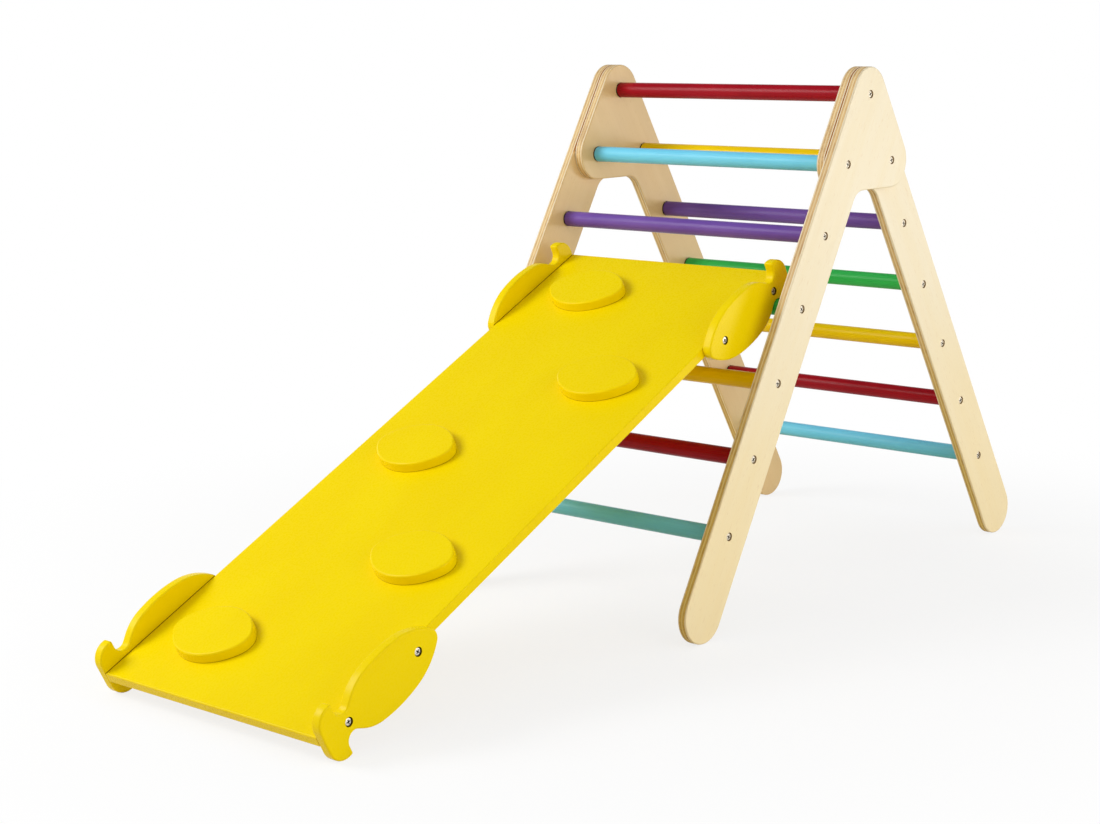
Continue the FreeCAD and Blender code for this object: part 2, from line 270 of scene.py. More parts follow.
def screw_places(*names):
    """The middle of each screw head's outer end, for screws that lie along Y."""
    middles = []
    for name in names:
        points = [vert.co for vert in NODES[name].data.vertices]
        outer = max(abs(point.y) for point in points)
        groups = []
        for point in points:
            if abs(point.y) > outer - END_DEPTH:
                home = next((group for group in groups
                             if (group[0] - point).length < 2 * RECESS_R), None)
                if home:
                    home.append(point)
                else:
                    groups.append([point])
        for group in groups:
            low = Vector([min(point[axis] for point in group) for axis in range(3)])
            high = Vector([max(point[axis] for point in group) for axis in range(3)])
            middles.append((low + high) / 2)
    return middles


front_screws = screw_places("head_screws_left", "front_leg_screws_left")
rear_screws = screw_places("rear_leg_screws_left")
hook_screws = screw_places("hook_screws_left")
print("recesses on one side:", len(front_screws), "front,", len(rear_screws), "rear,",
      len(hook_screws), "in hooks")

# %% [markdown]
# A mask for the recesses measures how far a point is from the nearest screw's axis, leaving out Y, along
# which the screws lie. So one list of screws serves both sides of the object.

# %% Mask the recesses
SIDEWAYS = (1.0, 0.0, 1.0)


def in_recess(tree, place, screws):
    flat = add_node(tree, "ShaderNodeVectorMath", {0: place}, {1: SIDEWAYS}, operation="MULTIPLY")
    nearest = None
    for screw in screws:
        apart = add_node(tree, "ShaderNodeVectorMath", {0: flat}, {1: (screw.x, 0.0, screw.z)},
                         operation="DISTANCE")
        if nearest:
            apart = add_node(tree, "ShaderNodeMath", {0: nearest, 1: apart}, operation="MINIMUM")
        nearest = apart
    return add_node(tree, "ShaderNodeMapRange", {"Value": nearest}, {
        "From Min": RECESS_R, "From Max": RECESS_R + RECESS_BLUR,
        "To Min": RECESS_SHARE, "To Max": 0.0}, **SOFT)


print("recesses are masked to a radius of", round(RECESS_R / MM, 2), "mm")

# %% [markdown]
# ## Lacquered birch plywood
#
# The legs are 15 mm birch plywood under a clear satin lacquer. A flat picture wrapped round the boards
# would stretch on the edges, so the wood is made as a solid pattern, the way a real board is built up:
# the depth into the board says which ply we are in. The faces then show one pale veneer with its grain
# along the leg, and the edges show the stack of plies, without any unwrapping.

# %% Plies by depth
BOARD_THICK = 15.0 * MM
INNER_FACE = 235.0 * MM
# Birch plywood this thick has 11 plies of 1.4 mm. They are drawn as 5, since finer lines would blur away.
PLY_COUNT = 5
PLY_THICK = BOARD_THICK / PLY_COUNT
PLY_WAVER, PLY_MARGIN = 0.2, 0.05


def ply_layers(tree, place):
    """Which ply a point is in, from 0 to PLY_COUNT, with the slight waver of pressed veneer."""
    axes = add_node(tree, "ShaderNodeSeparateXYZ", {0: place})
    depth = add_node(tree, "ShaderNodeMath", {0: axes.outputs["Y"]}, operation="ABSOLUTE")
    stack = add_node(tree, "ShaderNodeMath", {0: depth}, {1: 1 / PLY_THICK, 2: -INNER_FACE / PLY_THICK},
                     operation="MULTIPLY_ADD")
    layer = add_node(tree, "ShaderNodeMath", {0: stack}, {1: PLY_COUNT}, operation="MODULO")
    scaled = add_node(tree, "ShaderNodeMapping", {"Vector": place}, {"Scale": cells(60, 60, 60)})
    waver = add_node(tree, "ShaderNodeTexNoise", {"Vector": scaled}, {"Scale": 1.0, "Detail": 1.0})
    waver = add_node(tree, "ShaderNodeMapRange", {"Value": waver}, {
        "From Min": 0.2, "From Max": 0.8, "To Min": -PLY_WAVER, "To Max": PLY_WAVER})
    layer = add_node(tree, "ShaderNodeMath", {0: layer, 1: waver}, operation="ADD")
    return add_node(tree, "ShaderNodeClamp", {"Value": layer}, {
        "Min": PLY_MARGIN, "Max": PLY_COUNT - PLY_MARGIN})


print(PLY_COUNT, "plies of", round(PLY_THICK / MM, 2), "mm")

# %% [markdown]
# The face veneer has three things to see: broad soft bands along the grain, fine streaks, and the short
# dark flecks that birch is known by. All three are noise, stretched along the leg.

# %% Grain of the veneer
FLECKS_FROM, FLECKS_FULL = 0.66, 0.76


def veneer_grain(tree, along):
    """The bands, streaks and flecks of the veneer."""
    scaled = add_node(tree, "ShaderNodeMapping", {"Vector": along}, {"Scale": cells(38, 38, 420)})
    bands = add_node(tree, "ShaderNodeTexNoise", {"Vector": scaled},
                     {"Scale": 1.0, "Detail": 3.0, "Distortion": 0.5})
    # Birch fibres are far finer than a pixel, so the streaks are drawn about 1.6 mm wide.
    scaled = add_node(tree, "ShaderNodeMapping", {"Vector": along}, {"Scale": cells(1.6, 1.6, 95)})
    streaks = add_node(tree, "ShaderNodeTexNoise", {"Vector": scaled}, {"Scale": 1.0, "Detail": 2.0})
    scaled = add_node(tree, "ShaderNodeMapping", {"Vector": along}, {"Scale": cells(1.4, 1.4, 12)})
    flecks = add_node(tree, "ShaderNodeTexNoise", {"Vector": scaled}, {"Scale": 1.0, "Detail": 1.0})
    flecks = add_node(tree, "ShaderNodeMapRange", {"Value": flecks}, {
        "From Min": FLECKS_FROM, "From Max": FLECKS_FULL}, **SOFT)
    return bands, streaks, flecks


print("flecks show where their noise is over", FLECKS_FROM)

# %% [markdown]
# The veneer is painted creamier near the foot and paler near the head: the paler head is painted sheen,
# and the creamier foot is painted warm bounce light. The inner face is painted a shade deeper, as painted
# shade: the normal and the place along Y, multiplied, are negative there.

# %% Face veneer
# The head tones are paler for painted sheen, the foot tones creamier for painted warm bounce light.
HEAD_SHEEN_PALE, HEAD_SHEEN_DEEP, FOOT_BOUNCE_PALE, FOOT_BOUNCE_DEEP = "E8DDC3", "E6D8B6", "F3E2B8", "F1DDAC"
FOOT_TONE_TO, HEAD_TONE_FROM = 50 * MM, 550 * MM
# The inner tones are a shade deeper: painted shade.
INNER_SHADE_PALE, INNER_SHADE_DEEP = "E6C791", "E1C087"
FLECK_TONE, FLECK_SHARE = "C79C62", 0.25
INNER_BELOW, OUTER_ABOVE = -0.12, -0.04
STREAKS_IN_TONE = 0.35


def face_veneer(tree, place, normal, bands, streaks, flecks):
    """The veneer's colour, with painted sheen near the head and painted warm bounce near the foot."""
    tone = add_node(tree, "ShaderNodeMath", {0: streaks, 2: bands}, {1: STREAKS_IN_TONE},
                    operation="MULTIPLY_ADD")
    tone = add_node(tree, "ShaderNodeMapRange", {"Value": tone}, {
        "From Min": 0.35, "From Max": 1.0}, **SOFT)
    axes = add_node(tree, "ShaderNodeSeparateXYZ", {0: place})
    # drift runs from foot to head and carries the painted warm bounce and the painted sheen.
    drift = add_node(tree, "ShaderNodeMapRange", {"Value": axes.outputs["Z"]}, {
        "From Min": FOOT_TONE_TO, "From Max": HEAD_TONE_FROM}, **SOFT)
    foot = add_node(tree, "ShaderNodeMix", {0: tone},
                    {6: linear(FOOT_BOUNCE_PALE), 7: linear(FOOT_BOUNCE_DEEP)}, **COLOUR)
    head = add_node(tree, "ShaderNodeMix", {0: tone},
                    {6: linear(HEAD_SHEEN_PALE), 7: linear(HEAD_SHEEN_DEEP)}, **COLOUR)
    outer = add_node(tree, "ShaderNodeMix", {0: drift, 6: foot, 7: head}, **COLOUR)
    # Inner faces get the deeper tone: painted shade.
    inner = add_node(tree, "ShaderNodeMix", {0: tone},
                     {6: linear(INNER_SHADE_PALE), 7: linear(INNER_SHADE_DEEP)}, **COLOUR)
    facing = add_node(tree, "ShaderNodeMath", {0: normal.outputs["Y"], 1: axes.outputs["Y"]},
                      operation="MULTIPLY")
    facing = add_node(tree, "ShaderNodeMapRange", {"Value": facing}, {
        "From Min": INNER_BELOW, "From Max": OUTER_ABOVE, "To Min": 1.0, "To Max": 0.0}, **SOFT)
    veneer = add_node(tree, "ShaderNodeMix", {0: facing, 6: outer, 7: inner}, **COLOUR)
    share = add_node(tree, "ShaderNodeMath", {0: flecks}, {1: FLECK_SHARE}, operation="MULTIPLY")
    veneer = add_node(tree, "ShaderNodeMix", {0: share, 6: veneer}, {7: linear(FLECK_TONE)}, **COLOUR)
    return veneer, drift


print("veneer from", FOOT_BOUNCE_PALE, "to", HEAD_SHEEN_PALE, "outside,", INNER_SHADE_PALE, "inside")

# %% [markdown]
# On the edges, plies with end grain are darker than those cut along the grain, and a thin brown line of
# glue parts them. Like the veneer, they are painted more golden near the foot, as painted warm bounce
# light. End grain drinks the lacquer unevenly and its pores are open, which the saw and the sanding belt
# smear along the edge, so two sizes of noise mottle it.

# %% Edge of the board
# The foot tones are more golden: painted warm bounce light from the ramp.
FOOT_BOUNCE_LONG_PLY, HEAD_LONG_PLY = "E8CE7E", "E8CE9A"
FOOT_BOUNCE_CROSS_PLY, HEAD_CROSS_PLY = "DEBA60", "DEBA7E"
GLUE_TONE = "905A1A"
PORE_SHARE, BLOTCH_SHARE, GLUE_SHARE = 0.45, 0.3, 0.28
GLUE_FULL_TO, GLUE_NONE_FROM = 0.02, 0.14


def ply_edge(tree, layer, along, drift, bands):
    """The edge's colour without glue, and masks of the plies inside the board and of the glue lines."""
    scaled = add_node(tree, "ShaderNodeMapping", {"Vector": along}, {"Scale": cells(2.2, 2.2, 16)})
    pores = add_node(tree, "ShaderNodeTexNoise", {"Vector": scaled}, {"Scale": 1.0, "Detail": 2.0})
    middle, reach = PLY_COUNT / 2, PLY_COUNT / 2 - 1
    inside = add_node(tree, "ShaderNodeMath", {0: layer}, {1: middle, 2: reach}, operation="COMPARE")
    whole = add_node(tree, "ShaderNodeMath", {0: layer}, operation="FLOOR")
    cross = add_node(tree, "ShaderNodeMath", {0: whole}, {1: 2.0}, operation="MODULO")
    share = add_node(tree, "ShaderNodeMapRange", {"Value": pores}, {
        "From Min": 0.4, "From Max": 0.7, "To Min": 0.0, "To Max": PORE_SHARE}, **SOFT)
    # Towards the foot the plies are painted more golden: painted warm bounce light.
    long_ply = add_node(tree, "ShaderNodeMix", {0: drift},
                        {6: linear(FOOT_BOUNCE_LONG_PLY), 7: linear(HEAD_LONG_PLY)}, **COLOUR)
    cross_ply = add_node(tree, "ShaderNodeMix", {0: drift},
                         {6: linear(FOOT_BOUNCE_CROSS_PLY), 7: linear(HEAD_CROSS_PLY)}, **COLOUR)
    end_grain = add_node(tree, "ShaderNodeMix", {0: share, 6: cross_ply},
                         {7: linear(GLUE_TONE)}, **COLOUR)
    core = add_node(tree, "ShaderNodeMix", {0: cross, 6: long_ply, 7: end_grain}, **COLOUR)
    share = add_node(tree, "ShaderNodeMapRange", {"Value": bands}, {
        "From Min": 0.45, "From Max": 0.7, "To Min": 0.0, "To Max": BLOTCH_SHARE}, **SOFT)
    core = add_node(tree, "ShaderNodeMix", {0: share, 6: core}, {7: linear(GLUE_TONE)}, **COLOUR)
    from_glue = add_node(tree, "ShaderNodeMath", {0: layer}, {1: 0.5}, operation="PINGPONG")
    glue = add_node(tree, "ShaderNodeMapRange", {"Value": from_glue}, {
        "From Min": GLUE_FULL_TO, "From Max": GLUE_NONE_FROM,
        "To Min": GLUE_SHARE, "To Max": 0.0}, **SOFT)
    off_face = add_node(tree, "ShaderNodeMath", {0: layer}, {1: middle, 2: reach + 0.5},
                        operation="COMPARE")
    glue = add_node(tree, "ShaderNodeMath", {0: glue, 1: off_face}, operation="MULTIPLY")
    return core, inside, glue


print("edge plies", HEAD_LONG_PLY, "and", HEAD_CROSS_PLY, "at the head, with glue", GLUE_TONE)

# %% [markdown]
# Two more things make a board look used and put together. The rounded edges are handled most: there the
# lacquer is thinner and the wood a little darker. They are found by their slant, which is how far the
# normal points through the board's thickness: 0 on its edge, 1 on its face, and between them where it is
# rounded.

# %% Rounded edges
WORN_SHARE, WORN_RISE, WORN_FALL = 0.15, (0.2, 0.5), (0.8, 0.99)


def rounded_edge(tree, slant, share, rise, fall):
    """A mask that comes up over the range rise of the slant and is gone after the range fall."""
    rounded = add_node(tree, "ShaderNodeMapRange", {"Value": slant}, {
        "From Min": rise[0], "From Max": rise[1]}, **SOFT)
    flat = add_node(tree, "ShaderNodeMapRange", {"Value": slant}, {
        "From Min": fall[0], "From Max": fall[1], "To Min": share, "To Max": 0.0}, **SOFT)
    return add_node(tree, "ShaderNodeMath", {0: rounded, 1: flat}, operation="MULTIPLY")


print("wear shows on slants from", WORN_RISE[0], "to", WORN_FALL[1])

# %% [markdown]
# And where the two heads lie on each other, the groove between their rounded edges holds dust and shadow.
# The flat faces stay free of it, because only part of them is covered.

# %% The seam of the heads
SEAM_SHARE, SEAM_HALF, SEAM_RISE = 0.9, 1.5 * MM, (0.15, 0.6)
SEAM_TONE = "B4701A"
HEAD_CENTRE, HEAD_REACH, HEAD_FADE = (0.3257, 0.0, 0.7695), 138 * MM, 10 * MM
FLAT_FROM = 0.995


def head_seam(tree, place, slant):
    axes = add_node(tree, "ShaderNodeSeparateXYZ", {0: place})
    depth = add_node(tree, "ShaderNodeMath", {0: axes.outputs["Y"]}, operation="ABSOLUTE")
    at_joint = add_node(tree, "ShaderNodeMath", {0: depth}, {1: INNER_FACE + BOARD_THICK, 2: SEAM_HALF},
                        operation="COMPARE")
    from_apex = add_node(tree, "ShaderNodeVectorMath", {0: place}, {1: HEAD_CENTRE},
                         operation="SUBTRACT")
    from_apex = add_node(tree, "ShaderNodeVectorMath", {0: from_apex}, {1: SIDEWAYS},
                         operation="MULTIPLY")
    from_apex = add_node(tree, "ShaderNodeVectorMath", {0: from_apex}, operation="LENGTH")
    in_head = add_node(tree, "ShaderNodeMapRange", {"Value": from_apex}, {
        "From Min": HEAD_REACH, "From Max": HEAD_REACH + HEAD_FADE,
        "To Min": SEAM_SHARE, "To Max": 0.0}, **SOFT)
    seam = add_node(tree, "ShaderNodeMath", {0: at_joint, 1: in_head}, operation="MULTIPLY")
    turned_in = add_node(tree, "ShaderNodeMapRange", {"Value": slant}, {
        "From Min": SEAM_RISE[0], "From Max": SEAM_RISE[1]}, **SOFT)
    seam = add_node(tree, "ShaderNodeMath", {0: seam, 1: turned_in}, operation="MULTIPLY")
    off_flat = add_node(tree, "ShaderNodeMath", {0: slant}, {1: FLAT_FROM}, operation="LESS_THAN")
    return add_node(tree, "ShaderNodeMath", {0: seam, 1: off_flat}, operation="MULTIPLY")


print("heads overlap within", round(HEAD_REACH / MM), "mm of the apex")

# %% [markdown]
# Now the board is put together. The front and the rear legs lean opposite ways, so a Mapping node turns
# the grain by the lean of each. The lacquer is a satin one: a typical IOR of 1.5, and rougher on the
# thirsty edges.

# %% Birch plywood
LEG_LEAN = math.radians(30.0)
# The recess walls are painted darker: dust on the raw wood, and painted shade.
RECESS_DUST_AND_SHADE = "9A7C4E"
LACQUER_ROUGH, EDGE_ROUGHER, STREAK_ROUGHER, SEAM_ROUGHER = 0.34, 0.18, 0.12, 0.5
FLECK_DIP, GLUE_DIP = -0.5, -1.0
WOOD_BUMP = {"Strength": 0.3, "Distance": 0.15 * MM}


def lacquered_birch_plywood(name, lean, screws):
    material, tree = new_material(name)
    coords = add_node(tree, "ShaderNodeTexCoord")
    place = coords.outputs["Object"]
    normal = add_node(tree, "ShaderNodeSeparateXYZ", {0: coords.outputs["Normal"]})
    slant = add_node(tree, "ShaderNodeMath", {0: normal.outputs["Y"]}, operation="ABSOLUTE")
    along = add_node(tree, "ShaderNodeMapping", {"Vector": place}, {"Rotation": (0.0, lean, 0.0)})
    bands, streaks, flecks = veneer_grain(tree, along)
    veneer, drift = face_veneer(tree, place, normal, bands, streaks, flecks)
    core, inside, glue = ply_edge(tree, ply_layers(tree, place), along, drift, bands)

    wood = add_node(tree, "ShaderNodeMix", {0: inside, 6: veneer, 7: core}, **COLOUR)
    worn = rounded_edge(tree, slant, WORN_SHARE, WORN_RISE, WORN_FALL)
    seam = head_seam(tree, place, slant)
    for mask, tone in ((glue, GLUE_TONE), (worn, HEAD_CROSS_PLY), (seam, SEAM_TONE),
                       (in_recess(tree, place, screws), RECESS_DUST_AND_SHADE)):
        wood = add_node(tree, "ShaderNodeMix", {0: mask, 6: wood}, {7: linear(tone)}, **COLOUR)
    rough = add_node(tree, "ShaderNodeMath", {0: inside}, {1: EDGE_ROUGHER, 2: LACQUER_ROUGH},
                     operation="MULTIPLY_ADD")
    for mask, rougher in ((streaks, STREAK_ROUGHER), (seam, SEAM_ROUGHER)):
        rough = add_node(tree, "ShaderNodeMath", {0: mask, 2: rough}, {1: rougher},
                         operation="MULTIPLY_ADD")
    height = streaks
    for mask, dip in ((flecks, FLECK_DIP), (glue, GLUE_DIP)):
        height = add_node(tree, "ShaderNodeMath", {0: mask, 2: height}, {1: dip},
                          operation="MULTIPLY_ADD")
    bump = add_node(tree, "ShaderNodeBump", {"Height": height}, WOOD_BUMP)
    shader = add_node(tree, "ShaderNodeBsdfPrincipled",
                      {"Base Color": wood, "Roughness": rough, "Normal": bump}, {"IOR": 1.5})
    add_node(tree, "ShaderNodeOutputMaterial", {"Surface": shader})
    return material


front_birch = lacquered_birch_plywood("birch_plywood_satin_lacquer_front", -LEG_LEAN, front_screws)
rear_birch = lacquered_birch_plywood("birch_plywood_satin_lacquer_rear", LEG_LEAN, rear_screws)
print("two boards' worth of", front_birch.name, "and", rear_birch.name)

# %% [markdown]
# ## Yellow paint on plywood
#
# The ramp, its hooks and its stones are sprayed with a strong yellow paint of low gloss. Two things save
# it from looking like plastic: the grain of the plywood below shows through as very faint ridges along
# the ramp, and the spray leaves a fine orange peel. The grain follows the ramp, so every yellow pattern
# is made in a frame in which the ramp lies level, and a Mapping node turns the object's own place into
# that frame.

# %% The levelled ramp
RAMP_SLOPE = math.radians(26.561)
LEVELLED = (0.0, RAMP_SLOPE, 0.0)
BOARD_SIDE = 207.5 * MM
BOARD_TOP = max(vert.co.z * math.cos(RAMP_SLOPE) - vert.co.x * math.sin(RAMP_SLOPE)
                for vert in NODES["ramp_board"].data.vertices)
print("with the ramp turned level, its top is at", round(BOARD_TOP / MM, 2), "mm")

# %% Sprayed colour
YELLOW, YELLOW_DEEP, GRAIN_IN_YELLOW = "F5DA00", "F3D600", 0.35


def sprayed_yellow(tree, level):
    """The paint's colour, with the grain and the orange peel that shape its surface."""
    scaled = add_node(tree, "ShaderNodeMapping", {"Vector": level}, {"Scale": cells(170, 90, 90)})
    drift = add_node(tree, "ShaderNodeTexNoise", {"Vector": scaled}, {"Scale": 1.0, "Detail": 2.0})
    scaled = add_node(tree, "ShaderNodeMapping", {"Vector": level}, {"Scale": cells(120, 2.4, 2.4)})
    grain = add_node(tree, "ShaderNodeTexNoise", {"Vector": scaled}, {"Scale": 1.0, "Detail": 2.0})
    # Real orange peel is about 1 mm across, too fine to show here, so it is drawn at 3 mm.
    scaled = add_node(tree, "ShaderNodeMapping", {"Vector": level}, {"Scale": cells(3, 3, 3)})
    peel = add_node(tree, "ShaderNodeTexNoise", {"Vector": scaled}, {"Scale": 1.0, "Detail": 1.0})
    tone = add_node(tree, "ShaderNodeMath", {0: grain, 2: drift}, {1: GRAIN_IN_YELLOW},
                    operation="MULTIPLY_ADD")
    tone = add_node(tree, "ShaderNodeMapRange", {"Value": tone}, {
        "From Min": 0.45, "From Max": 0.9}, **SOFT)
    paint = add_node(tree, "ShaderNodeMix", {0: tone},
                     {6: linear(YELLOW), 7: linear(YELLOW_DEEP)}, **COLOUR)
    return paint, grain, peel


print("yellow drifts from", YELLOW, "to", YELLOW_DEEP)

# %% [markdown]
# Paint draws back from the rounded edges, where it is thinner and a little deeper in tone. The slant says
# where that is, here too. A thin dark line is painted along the foot of every stone and between the board
# and its hooks, on the side of them that faces the board: painted contact shade in the joints.

# %% Thin paint and unpainted joints
YELLOW_EDGE, EDGE_SHARE, EDGE_RISE, EDGE_FALL = "F1D000", 0.2, (0.15, 0.45), (0.75, 0.98)
# The joint line is painted contact shade.
JOINT_SHADE_TONE, JOINT_SHARE, JOINT_BLUR = "7C4E00", 0.85, 0.4 * MM
JOINT_FULL_TO, JOINT_NONE_FROM = BOARD_SIDE + 0.7 * MM, BOARD_SIDE + 1.5 * MM


def thin_paint(tree, normal, thick_axis):
    turned = add_node(tree, "ShaderNodeMapping", {"Vector": normal}, {"Rotation": LEVELLED})
    slant = add_node(tree, "ShaderNodeSeparateXYZ", {0: turned})
    slant = add_node(tree, "ShaderNodeMath", {0: slant.outputs[thick_axis]}, operation="ABSOLUTE")
    return rounded_edge(tree, slant, EDGE_SHARE, EDGE_RISE, EDGE_FALL)


def joint_shade_line(tree, level, low, high):
    """A mask of the line of painted contact shade between two heights over the board's top."""
    axes = add_node(tree, "ShaderNodeSeparateXYZ", {0: level})
    middle, half = BOARD_TOP + (low + high) / 2, (high - low) / 2
    off = add_node(tree, "ShaderNodeMath", {0: axes.outputs["Z"]}, {1: middle}, operation="SUBTRACT")
    off = add_node(tree, "ShaderNodeMath", {0: off}, operation="ABSOLUTE")
    line = add_node(tree, "ShaderNodeMapRange", {"Value": off}, {
        "From Min": half - JOINT_BLUR, "From Max": half + JOINT_BLUR,
        "To Min": 1.0, "To Max": 0.0}, **SOFT)
    aside = add_node(tree, "ShaderNodeMath", {0: axes.outputs["Y"]}, operation="ABSOLUTE")
    inner = add_node(tree, "ShaderNodeMapRange", {"Value": aside}, {
        "From Min": JOINT_FULL_TO, "From Max": JOINT_NONE_FROM,
        "To Min": JOINT_SHARE, "To Max": 0.0}, **SOFT)
    return add_node(tree, "ShaderNodeMath", {0: line, 1: inner}, operation="MULTIPLY")


# The joint line is painted contact shade.
print("joints are left unpainted in", JOINT_SHADE_TONE)

# %% [markdown]
# The whole finish comes in three versions. The stones and the board are thick along the levelled Z, the
# hooks along Y, and only the hooks have recesses in their sides. The paint is nearly matt: a pale room
# shows in it so little that a typical specular level of 0.5 would wash out the yellow, so it was matched
# to the object and is very low.

# %% Yellow paint
# The hooks' screw recesses are painted nearly black: painted shade.
YELLOW_RECESS_SHADE = "3B2B00"
YELLOW_SPECULAR = 0.08
SPRAY_ROUGH, PEEL_ROUGHER, GRAIN_RIDGE = 0.22, 0.12, 0.8
SPRAY_BUMP = {"Strength": 0.05, "Distance": 0.1 * MM}


def yellow_paint_on_plywood(name, thick_axis, joint=None, screws=None):
    material, tree = new_material(name)
    coords = add_node(tree, "ShaderNodeTexCoord")
    place = coords.outputs["Object"]
    level = add_node(tree, "ShaderNodeMapping", {"Vector": place}, {"Rotation": LEVELLED})
    paint, grain, peel = sprayed_yellow(tree, level)
    masks = [(thin_paint(tree, coords.outputs["Normal"], thick_axis), YELLOW_EDGE)]
    if joint:
        masks.append((joint_shade_line(tree, level, *joint), JOINT_SHADE_TONE))
    if screws:
        masks.append((in_recess(tree, place, screws), YELLOW_RECESS_SHADE))
    for mask, tone in masks:
        paint = add_node(tree, "ShaderNodeMix", {0: mask, 6: paint}, {7: linear(tone)}, **COLOUR)
    rough = add_node(tree, "ShaderNodeMath", {0: peel}, {1: PEEL_ROUGHER, 2: SPRAY_ROUGH},
                     operation="MULTIPLY_ADD")
    height = add_node(tree, "ShaderNodeMath", {0: grain, 2: peel}, {1: GRAIN_RIDGE},
                      operation="MULTIPLY_ADD")
    bump = add_node(tree, "ShaderNodeBump", {"Height": height}, SPRAY_BUMP)
    shader = add_node(tree, "ShaderNodeBsdfPrincipled",
                      {"Base Color": paint, "Roughness": rough, "Normal": bump},
                      {"Specular IOR Level": YELLOW_SPECULAR})
    add_node(tree, "ShaderNodeOutputMaterial", {"Surface": shader})
    return material


STONE_JOINT, HOOK_JOINT = (-0.5 * MM, 0.6 * MM), (-2.2 * MM, 0.3 * MM)
board_yellow = yellow_paint_on_plywood("yellow_spray_paint_on_ramp_board", "Z")
stone_yellow = yellow_paint_on_plywood("yellow_spray_paint_on_stones", "Z", STONE_JOINT)
hook_yellow = yellow_paint_on_plywood("yellow_spray_paint_on_hooks", "Y", HOOK_JOINT, hook_screws)
print("painted", board_yellow.name, stone_yellow.name, hook_yellow.name)

# %% [markdown]
# ## Satin paint on the rungs
#
# The rungs are 25 mm beech dowels in satin paint. Being round, they show a soft line of light along their
# length, and that line is where a painted dowel differs from a plastic tube: the grain lifts the paint
# into fine ridges that run from end to end. One recipe serves all five colours.

# %% Rung paint
RUNG_COLOURS = {
    "red_rung_paint": ("AA0F22", "980A1B"),
    "light_blue_rung_paint": ("7EDCFC", "72D1F3"),
    "purple_rung_paint": ("7A58AF", "6D4BA2"),
    "green_rung_paint": ("3CC65E", "32B952"),
    "yellow_rung_paint": ("FFD900", "F8CF00"),
}
RUNG_SPECULAR, RUNG_ROUGH, GRAIN_ROUGHER, GRAIN_IN_PAINT = 0.13, 0.23, 0.1, 0.7
RUNG_BUMP = {"Strength": 0.1, "Distance": 0.12 * MM}


def satin_paint_on_dowel(name, colour, deep_colour):
    material, tree = new_material(name)
    place = add_node(tree, "ShaderNodeTexCoord").outputs["Object"]
    scaled = add_node(tree, "ShaderNodeMapping", {"Vector": place}, {"Scale": cells(40, 130, 40)})
    drift = add_node(tree, "ShaderNodeTexNoise", {"Vector": scaled}, {"Scale": 1.0, "Detail": 2.0})
    # The grain of beech is about 0.3 mm wide: it is drawn at 1.3 mm so that it shows.
    scaled = add_node(tree, "ShaderNodeMapping", {"Vector": place}, {"Scale": cells(1.3, 260, 1.3)})
    grain = add_node(tree, "ShaderNodeTexNoise", {"Vector": scaled}, {"Scale": 1.0, "Detail": 2.0})
    tone = add_node(tree, "ShaderNodeMath", {0: grain, 2: drift}, {1: GRAIN_IN_PAINT},
                    operation="MULTIPLY_ADD")
    tone = add_node(tree, "ShaderNodeMapRange", {"Value": tone}, {
        "From Min": 0.6, "From Max": 1.1}, **SOFT)
    paint = add_node(tree, "ShaderNodeMix", {0: tone},
                     {6: linear(colour), 7: linear(deep_colour)}, **COLOUR)
    rough = add_node(tree, "ShaderNodeMath", {0: grain}, {1: GRAIN_ROUGHER, 2: RUNG_ROUGH},
                     operation="MULTIPLY_ADD")
    bump = add_node(tree, "ShaderNodeBump", {"Height": grain}, RUNG_BUMP)
    shader = add_node(tree, "ShaderNodeBsdfPrincipled",
                      {"Base Color": paint, "Roughness": rough, "Normal": bump},
                      {"Specular IOR Level": RUNG_SPECULAR})
    add_node(tree, "ShaderNodeOutputMaterial", {"Surface": shader})
    return material


finishes = {slot: satin_paint_on_dowel(slot.replace("_rung_paint", "_satin_paint_on_beech"), *pair)
            for slot, pair in RUNG_COLOURS.items()}
print("rung paints:", ", ".join(sorted(finishes)))

# %% [markdown]
# The ends of a rung go into the boards unpainted, so that glue can hold them. Raw beech, browned by old
# glue and painted darker still as painted shade of the socket, makes the dark ring round the end of each
# rung.

# %% Raw beech
# The tenon's dark tones are old glue and painted shade of the socket.
BEECH_DARK, BEECH_DARKER, BEECH_ROUGH = "4A331C", "33220F", 0.75
BEECH_BUMP = {"Strength": 0.4, "Distance": 0.15 * MM}
bare_beech, tree = new_material("bare_beech_tenon_glue_and_shade")
place = add_node(tree, "ShaderNodeTexCoord").outputs["Object"]
scaled = add_node(tree, "ShaderNodeMapping", {"Vector": place}, {"Scale": cells(1.3, 20, 1.3)})
fibres = add_node(tree, "ShaderNodeTexNoise", {"Vector": scaled}, {"Scale": 1.0, "Detail": 2.0})
wood = add_node(tree, "ShaderNodeMix", {0: fibres},
                {6: linear(BEECH_DARK), 7: linear(BEECH_DARKER)}, **COLOUR)
bump = add_node(tree, "ShaderNodeBump", {"Height": fibres}, BEECH_BUMP)
shader = add_node(tree, "ShaderNodeBsdfPrincipled",
                  {"Base Color": wood, "Normal": bump}, {"Roughness": BEECH_ROUGH})
add_node(tree, "ShaderNodeOutputMaterial", {"Surface": shader})
print("made", bare_beech.name)

# %% [markdown]
# ## Zinc-plated screws
#
# The screws are steel with a bright zinc plating, stamped and tumbled, so the plating is a little mottled
# and its shine uneven. It is a metal, so its colour is the tint of its reflections. In the legs it has
# gone dull. The ramp is hung and taken down by its hooks, and hands keep the screws there bright, so they
# get a second version. A third, dark one lines the cross for the driver: grime and oil, and painted
# shade.

# %% Screw steel
MOTTLE_ROUGHER = 0.25
PIT_BUMP = {"Strength": 0.2, "Distance": 0.05 * MM}


